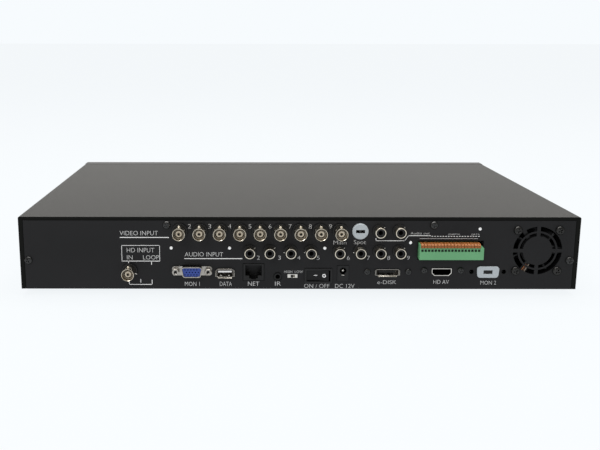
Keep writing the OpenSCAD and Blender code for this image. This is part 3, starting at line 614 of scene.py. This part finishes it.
def make_sockets():
    softened("jack_housings", "housings", 0.12, BLACK_MOULDING_AND_SHADE, CASE)
    softened("monitor_shell", "monitor_frame", 0.1, DULL_TIN, CASE)
    softened("monitor_insert", "monitor_face", 0.12, BLUE_PLASTIC, CASE)
    softened("data_port_shell", "data_shell", 0.06, DULL_TIN, CASE)
    softened("disk_port_shell", "disk_shell", 0.08, DULL_TIN, CASE)
    softened("av_port_shell", "av_shell", 0.06, BRIGHT_STEEL, CASE)
    softened("network_jack", "network_socket", 0.2, BLACK_MOULDING_AND_SHADE, CASE)
    softened("remote_eye_jack", "eye_jack", 0.2, BLACK_MOULDING_AND_SHADE, CASE)
    softened("dc_jack", "supply_jack", 0.3, BLACK_MOULDING_AND_SHADE, CASE)
    softened("standard_switch_body", "standard_switch_shell", 0.12, BRIGHT_STEEL, CASE)
    softened("standard_slider", "standard_knob", 0.06, BLACK_MOULDING_AND_SHADE, "standard_slider")
    softened("spot_plug", "round_blanking_plug", 0.15, PLUG_PLASTIC, CASE)
    softened("monitor_plug", "wide_blanking_plug", 0.25, PLUG_PLASTIC, CASE)
    # Painted shade: a black bar sits a little below the face of each blanking plug's slot, so the slot
    # reads dark.
    for name, plug, tall in (("round_plug_slot_painted_shade", "spot_plug", 2.46),
                             ("wide_plug_slot_painted_shade", "monitor_plug", 2.86)):
        low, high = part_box(plug)
        shade = settle(bar(6.86, tall, 4.4), on_panel((low.x + high.x) / 2, (low.z + high.z) / 2,
                                                      -3.9))
        rounded_edges(shade, 0.05)
        finish_piece(shade, name, BLACK_MOULDING_AND_SHADE, CASE)
    make_contacts()
    make_posts()
    make_data_socket()


def make_contacts():
    """Gold wires of the network socket on the left, bright pin and spring of the supply jack."""
    for number, piece in enumerate(solids_of("socket_contacts"), 1):
        rounded_edges(piece, 0.06)
        if span(piece)[0].x < 0:
            finish_piece(piece, "network_wire_%02d" % number, BRASS, CASE,
                         ["socket_contacts"])
        else:
            finish_piece(piece, "supply_contact_%02d" % number, BRIGHT_STEEL, CASE,
                         ["socket_contacts"])


def make_posts():
    """Six-sided screw posts with a round threaded hole."""
    post = turned([(0.05, 0.85), (2.65, 0.85), (2.9, 1.05), (2.9, 4.95), (2.6, 5.25),
                   (0.05, 5.25)], 6)
    cut(post, turned([(0.05, 1.5), (1.25, 1.5), (1.25, 5), (1.55, 5.3), (0.05, 5.31)], 24))
    shank = turned([(0.05, -6), (1.25, -6), (1.4, -5.8), (1.4, 1), (0.05, 1)], 24)
    places = [on_panel(centre.x, centre.z, 0, 30) for centre, size in spots("monitor_posts")]
    set_out(joined([post, shank]), "monitor_post", places, DULL_TIN, "monitor_posts")
    # Painted shade: a black plug sits at the bottom of each post's hole, so the hole reads dark.
    well = turned([(0.05, 1.45), (1.24, 1.45), (1.24, 3.2), (0.05, 2.9)], 24)
    set_out(well, "monitor_post_painted_shade", places, BLACK_MOULDING_AND_SHADE)


def make_data_socket():
    """White tongue of the data socket with two bright springs, and black tongues of the others."""
    shell = spots("data_port_shell")[0][0]
    for number, piece in enumerate(solids_of("socket_tongues"), 1):
        rounded_edges(piece, 0.15)
        tone = GREY_PLASTIC if number == 3 else BLACK_MOULDING_AND_SHADE
        finish_piece(piece, "socket_tongue_%d" % number, tone, CASE,
                     ["socket_tongues"])
    edge = settle(bar(10.6, 1.4, 12.5), on_panel(shell.x, shell.z + 1.1 * MM, -13))
    rounded_edges(edge, 0.15)
    finish_piece(edge, "data_tongue_face", WHITE_INK, CASE)
    for number, side in enumerate((-1, 1), 1):
        spring = settle(bar(1.3, 0.6, 6), on_panel(shell.x + side * 3.1 * MM,
                                                   shell.z - 1.95 * MM, -6.4))
        rounded_edges(spring, 0.1)
        finish_piece(spring, "data_spring_%d" % number, BRIGHT_STEEL, CASE)


# ---- Screws, rivets and feet ----


def pan_screw(head, height, shank, length):
    """A domed head with a cross recess on a plain shank."""
    screw = turned([(0.05, -length), (shank * 0.8, -length), (shank, 0.4 - length), (shank, 0.02),
                    (0.97 * head, 0.02), (head, 0.2), (head, 0.5 * height),
                    (0.95 * head, 0.62 * height), (0.82 * head, 0.9 * height),
                    (0.76 * head, 0.95 * height), (0.45 * head, 0.985 * height),
                    (0.05, height)], 36)
    for turn in (0, 90):
        cut(screw, bar(head * 1.15, head * 0.26, height, (0, 0, height * 0.45), turn))
    bpy.ops.object.shade_smooth_by_angle(angle=TURNED_ANGLE)
    return screw


def make_fixings():
    cover, port = [], []
    for number, (centre, size) in enumerate(spots("panel_screws")):
        heads = cover if size.x > 5.5 * MM else port
        heads.append(on_panel(centre.x, centre.z, 0, 20 + 47 * number))
    set_out(pan_screw(3, 1.9, 1.4, 6), "cover_screw", cover, BLACK_SCREW,
            "panel_screws")
    set_out(pan_screw(2.5, 1.5, 1.25, 5), "port_screw", port, BLACK_SCREW,
            "panel_screws")
    fan = [on_panel(centre.x, centre.z, 0, 20 + 33 * number)
           for number, (centre, size) in enumerate(spots("fan_screws"))]
    set_out(pan_screw(3.3, 2.1, 1.4, 9), "fan_screw", fan, DARK_SCREW,
            "fan_screws")
    rivet = turned([(0.05, -2), (0.85, -2), (0.85, 0), (1.25, 0.02), (1.24, 0.45), (1.15, 0.6),
                    (0.9, 0.68), (0.05, 0.7)], 24)
    set_out(rivet, "rivet", [on_panel(centre.x, centre.z) for centre, size in spots("panel_rivets")],
            RIVET_STEEL, "panel_rivets")
    foot = turned([(0.05, 1), (3.4, 1), (3.4, 0.3), (3.7, 0), (7.9, 0), (8.25, 0.35), (8.95, 4.7),
                   (8.8, 5), (0.05, 5)])
    set_out(foot, "foot", [Matrix.Translation((centre.x, centre.y, 0))
                           for centre, size in spots("rubber_feet")],
            FOOT_RUBBER, "rubber_feet")


# ---- Switch, terminals and fan ----


ROCKER_LEAN = -16
TERMINALS = 18
ENTRY_HEIGHT = 7.35


def make_power_switch():
    softened("power_switch_frame", "rocker_frame", 0.3, BLACK_MOULDING_AND_SHADE, CASE)
    softened("power_rocker", "rocker", 0.45, SATIN_BLACK, "power_rocker")
    low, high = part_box("power_switch_frame")
    middle = (low + high) / 2
    on_mark = settle(bar(2.6, 0.6, 0.04), on_panel(middle.x - 2.1 * MM, middle.z, -1.03))
    finish_piece(on_mark, "rocker_on_mark", WHITE_INK, "power_rocker")
    off_mark = turned([(0.7, 0), (1.5, 0), (1.5, 0.04), (0.7, 0.04), (0.7, 0)], 32)
    lean = Matrix.Rotation(math.radians(ROCKER_LEAN), 4, "Y")
    settle(off_mark, on_panel(middle.x + 4.4 * MM, middle.z, 0.33) @ lean)
    finish_piece(off_mark, "rocker_off_mark", WHITE_INK, "power_rocker")


def make_terminals():
    softened("terminal_block", "block", 0.15, GREEN_PLASTIC, CASE)
    block_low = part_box("terminal_block")[0]
    # Each wire entry holds a clamp, drawn as a black block set a little behind the entry's mouth; its
    # black is painted shade for the entry's depth.
    clamp = bar(1.86, 1.96, 5.6)
    places = []
    for number in range(1, TERMINALS + 1):
        lever = "terminal_lever_%02d" % number
        low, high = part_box(lever)
        places.append(on_panel((low.x + high.x) / 2, block_low.z + ENTRY_HEIGHT * MM, -0.7))
        softened(lever, "lever_%02d" % number, 0.14, ORANGE_PLASTIC, lever)
    rounded_edges(clamp, 0.05)
    set_out(clamp, "wire_clamp_painted_shade", places, BLACK_MOULDING_AND_SHADE)


def make_fan():
    softened("fan_frame", "fan_housing", 0.25, BLACK_MOULDING_AND_SHADE, CASE)
    softened("fan_rotor", "fan_wheel", 0.2, BLACK_MOULDING_AND_SHADE, "fan_rotor")
    leads = [(span(piece)[0].x, piece) for piece in solids_of("internal_leads")]
    for number, (x, piece) in enumerate(sorted(leads, key=lambda item: item[0])):
        smooth = piece.modifiers.new("smooth", "SUBSURF")
        smooth.levels = smooth.render_levels = 1
        apply_modifiers(piece)
        bpy.ops.object.shade_smooth_by_angle(angle=math.radians(60))
        material = BLACK_MOULDING_AND_SHADE if number == 0 else LEAD_COLOURS[number - 1]
        finish_piece(piece, ["drive_cable", "fan_lead_1", "fan_lead_2", "fan_lead_3"][number],
                     material, CASE, ["internal_leads"])


def make_front():
    softened("front_bezel", "bezel", 0.6, BEZEL_PLASTIC, CASE)
    softened("status_window", "window", 0.4, SMOKED, CASE)
    softened("power_button", "power_key", 0.4, KEY_PLASTIC, "power_button")
    softened("menu_button", "menu_key", 0.4, KEY_PLASTIC, "menu_button")


# ---- Printing ----

INK_DEPTH = 0.03

# Words with their left end, right end, base above the case floor and capital height, in mm
WORDS = [
    ("VIDEO INPUT", -137.6, -108.3, 42.6, 3.3), ("HD INPUT", -132.5, -111.4, 29.1, 3.4),
    ("IN", -132.5, -128.2, 23.5, 3.2), ("LOOP", -120.1, -107.9, 23.5, 3.2),
    ("1", -122.7, -122.0, 4.9, 2.8), ("AUDIO INPUT", -88.0, -58.5, 25.9, 3.3),
    ("MON 1", -88.2, -76.7, 2.3, 3.25), ("DATA", -61.1, -51.8, 2.3, 3.3),
    ("NET", -39.3, -30.6, 2.5, 3.2), ("IR", -18.3, -13.8, 2.6, 3.2),
    ("ON / OFF", 4.3, 23.9, 0.8, 3.07), ("DC 12V", 28.3, 43.3, 0.8, 3.1),
    ("e-DISK", 61.1, 75.6, 4.0, 2.9), ("HD AV", 104.4, 116.4, 4.2, 3.0),
    ("MON 2", 140.9, 153.1, 3.6, 3.0), ("Main", 26.3, 36.2, 35.5, 3.0),
    ("Spot", 41.9, 51.2, 35.8, 3.0), ("Audio out", 85.2, 99.8, 43.5, 1.8),
    ("ALARM IN", 114.0, 122.8, 43.1, 1.1), ("DATA", 132.0, 138.0, 43.0, 1.1),
    ("HIGH  LOW", -11.3, 3.1, 12.8, 1.9),
]
# Printed lines from one end to the other, as x and height above the case floor, with their width
LINES = [
    (-137.3, 40.9, -100.3, 40.9, 0.6), (-88.1, 24.2, -43.9, 24.2, 0.6),
    (-136.4, 22.2, -107.3, 22.2, 0.5), (-136.4, 34.6, -107.3, 34.6, 0.35),
    (-136.4, 22.2, -136.4, 34.6, 0.35), (-107.3, 22.2, -107.3, 34.6, 0.35),
    (-131.4, 19.6, -131.4, 22.2, 0.5), (-113.7, 19.6, -113.7, 22.2, 0.5),
    (-131.3, 3.5, -131.3, 5.5, 0.5), (-131.3, 3.5, -113.6, 3.5, 0.5),
    (-113.6, 3.5, -113.6, 7.1, 0.5), (58.8, 40.3, 58.9, 38.5, 0.5), (58.9, 38.5, 80.7, 38.5, 0.5),
    (80.7, 38.5, 83.7, 42.5, 0.5), (83.7, 42.5, 100.5, 42.5, 0.5), (92.4, 40.2, 137.0, 40.2, 0.2),
]
AUDIO_NUMBERS_X = [-31.3, -15.1, -0.1, 14.8, 38.0, 53.5, 69.1, 84.2]
VIDEO_NUMBERS_START = -84.1
VIDEO_NUMBERS_PITCH = 15.4
DASH_START = 101.9
DASH_PITCH = 2.1


def text_mesh(words):
    deselect()
    bpy.ops.object.text_add()
    text = bpy.context.object
    text.data.body = words
    text.data.resolution_u = 3
    text.data.extrude = 0.02
    text.data.offset = -0.013
    bpy.ops.object.convert(target="MESH")
    return bpy.context.object


def printed(words, left, right, base, capital):
    """Raised ink in the shape of some words, fitted between two places on the panel."""
    piece = text_mesh(words)
    centre, size = span(piece)
    stretch = Matrix.Diagonal(((right - left) * MM / size.x, capital * MM / CAPITAL,
                               INK_DEPTH * MM / size.z, 1))
    start = Matrix.Translation((size.x / 2 - centre.x, 0, size.z / 2))
    return settle(piece, on_panel(left * MM, FLOOR_Z + base * MM) @ stretch @ start)


def printed_line(x1, z1, x2, z2, width):
    run = Vector((x2 - x1, z2 - z1))
    line = bar(run.length + width, width, INK_DEPTH)
    return settle(line, on_panel((x1 + x2) / 2 * MM, FLOOR_Z + (z1 + z2) / 2 * MM, 0,
                                 math.degrees(math.atan2(run.y, run.x))))


def make_printing():
    ink = [printed(*word) for word in WORDS]
    lines = [printed_line(*line) for line in LINES]
    for number, audio_x in enumerate(AUDIO_NUMBERS_X):
        x = VIDEO_NUMBERS_START + VIDEO_NUMBERS_PITCH * number
        ink.append(printed(str(number + 2), x - 1.1, x + 1.1, 48.0, 3.2))
        ink.append(printed(str(number + 2), audio_x - 1.1, audio_x + 1.1, 23.4, 3.0))
    for number in range(TERMINALS):
        x = DASH_START + number * DASH_PITCH
        lines.append(printed_line(x - 0.35, 42.0, x + 0.35, 42.0, 0.5))
    finish_piece(joined(ink), "panel_words", WORD_INK, CASE)
    finish_piece(joined(lines), "panel_lines", WHITE_INK, CASE)


add_camera()
add_studio()

PLAIN_NODES = {
    "base_tray": STEEL_COAT, "rear_panel": STEEL_COAT, "top_cover": COVER_COAT,
    "main_board": BOARD_GREEN, "input_board": BOARD_GREEN, "key_board": BOARD_GREEN,
    "heat_sink": ALUMINIUM, "hard_drive": ALUMINIUM,
}
for name, material in PLAIN_NODES.items():
    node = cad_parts[name]
    node.data.materials.clear()
    node.data.materials.append(material)

capital = text_mesh("H")
CAPITAL = span(capital)[1].y
bpy.data.objects.remove(capital)

make_video_jacks()
make_audio_jacks()
make_sockets()
make_fixings()
make_power_switch()
make_terminals()
make_fan()
make_front()
make_printing()
